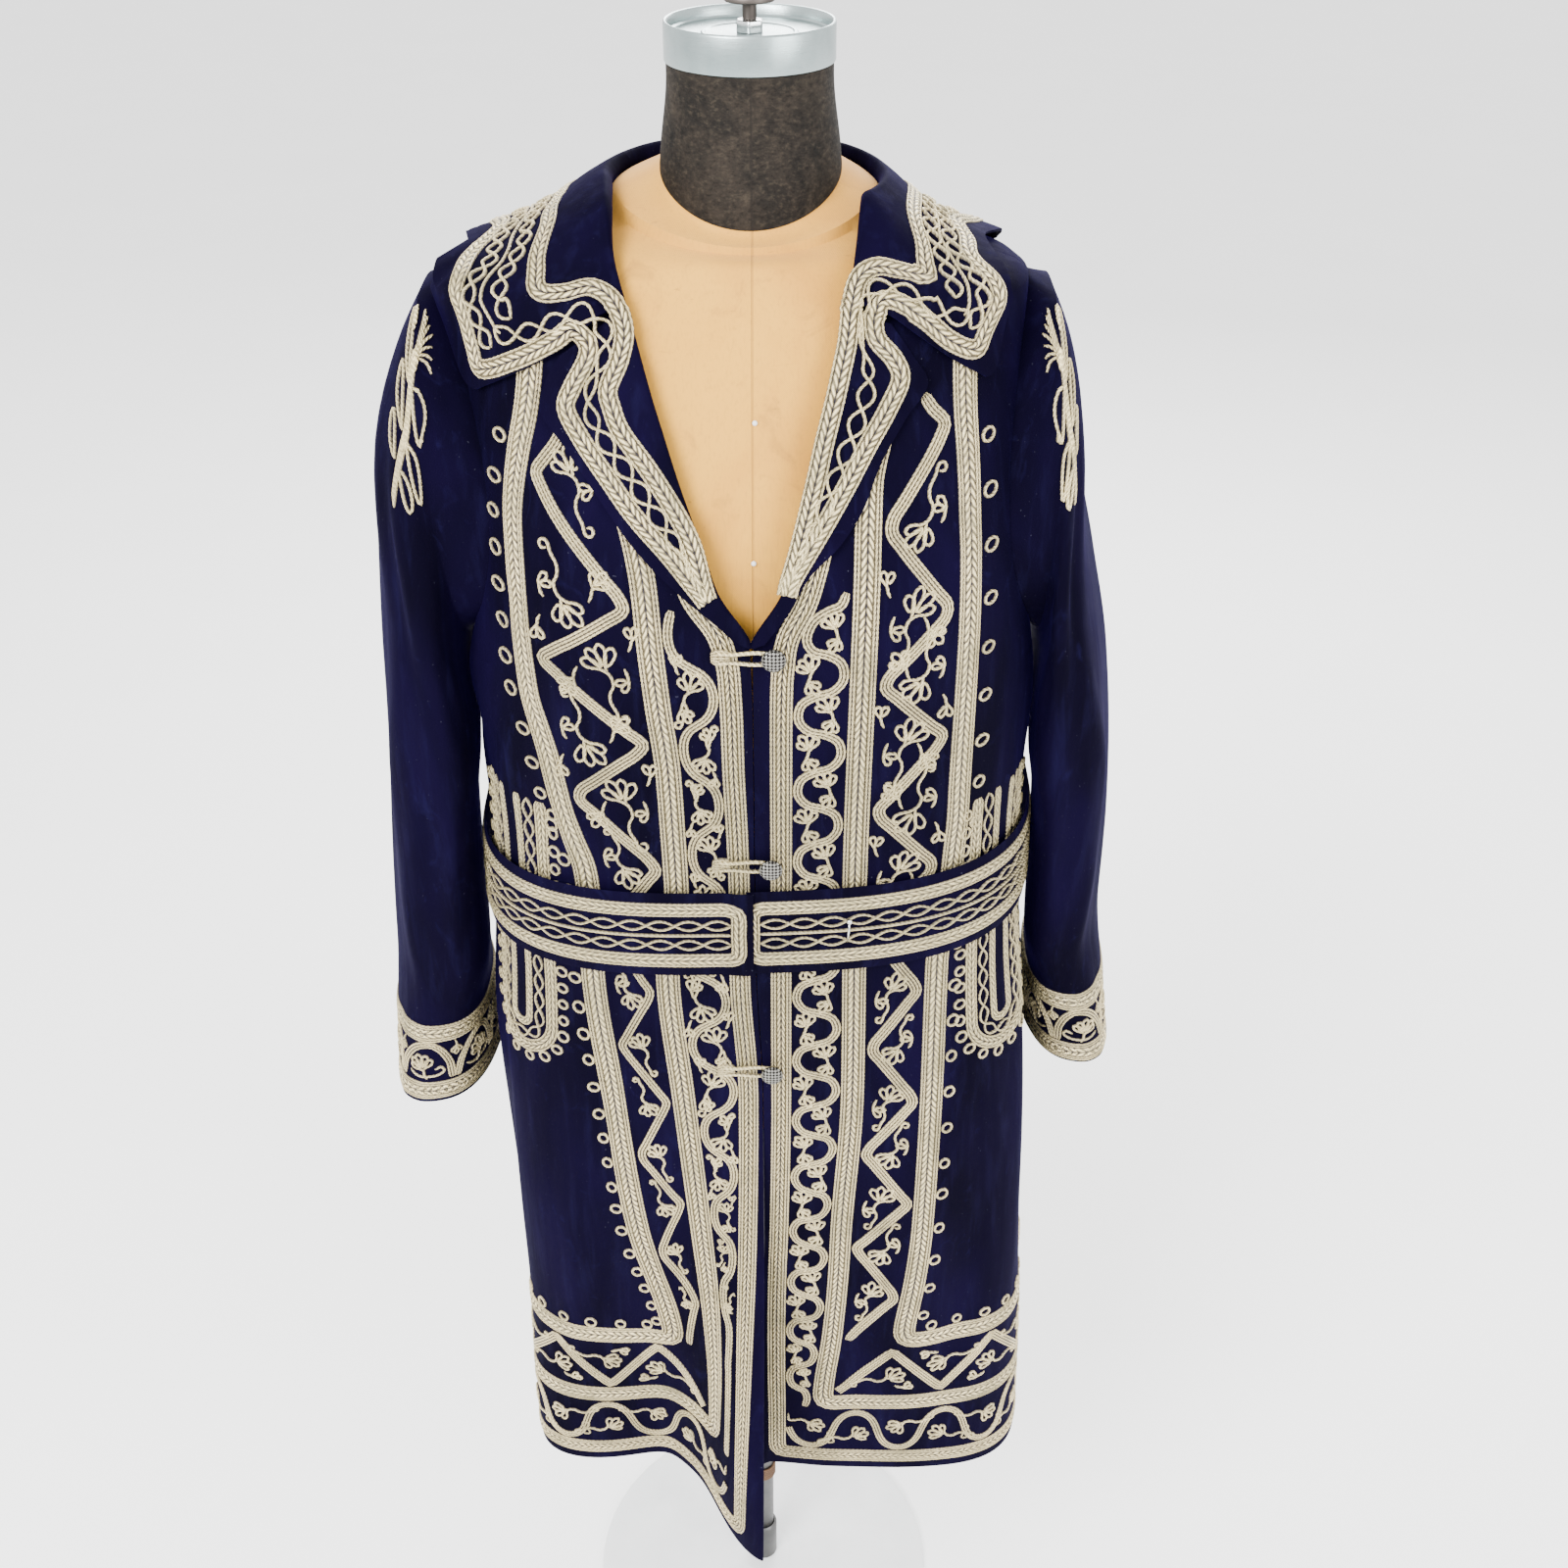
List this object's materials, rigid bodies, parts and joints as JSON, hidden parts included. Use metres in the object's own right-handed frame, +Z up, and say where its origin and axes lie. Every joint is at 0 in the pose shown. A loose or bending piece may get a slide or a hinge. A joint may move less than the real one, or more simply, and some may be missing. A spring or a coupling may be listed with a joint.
{
  "type": "embroidered velvet coat on dress form",
  "caption": "Knee-length navy velvet coat with wide collar, belt and couched metal braid, worn by a limbless dress form on a pole stand with a round base.",
  "frame": {"origin": "centre of the stand's base on the floor", "axes": "+Z up along the pole, the coat's front faces -Y, the wearer's right is -X"},
  "size_m": [0.5799, 0.3992, 1.5171],
  "materials": {
    "velvet": "matt pile with a soft sheen",
    "metal_braid": "tarnished metal thread",
    "linen": "matt weave",
    "neck_cloth": "matt, worn",
    "bright_metal": "satin",
    "dark_metal": "dark satin",
    "button_metal": "satin",
    "pole_steel": "dark satin",
    "pale_paint": "satin"
  },
  "bodies": {
    "root": {"coat_back_left": "velvet", "coat_back_right": "velvet", "coat_front_left": "velvet", "coat_front_right": "velvet", "sleeve_left": "velvet", "sleeve_right": "velvet", "collar": "velvet", "lapel_left": "velvet", "lapel_right": "velvet", "belt": "velvet", "pocket_braid_left": "metal_braid", "pocket_braid_right": "metal_braid", "button_1": "button_metal", "button_2": "button_metal", "button_3": "button_metal", "button_loop_1": "metal_braid", "button_loop_2": "metal_braid", "button_loop_3": "metal_braid", "form_torso": "linen", "form_neck": "neck_cloth", "neck_cap": "bright_metal", "cap_nut": "bright_metal", "cap_bolt": "dark_metal", "stand_pole": "pole_steel", "pole_collar": "pole_steel", "stand_base": "pale_paint"}
  },
  "joints": []
}
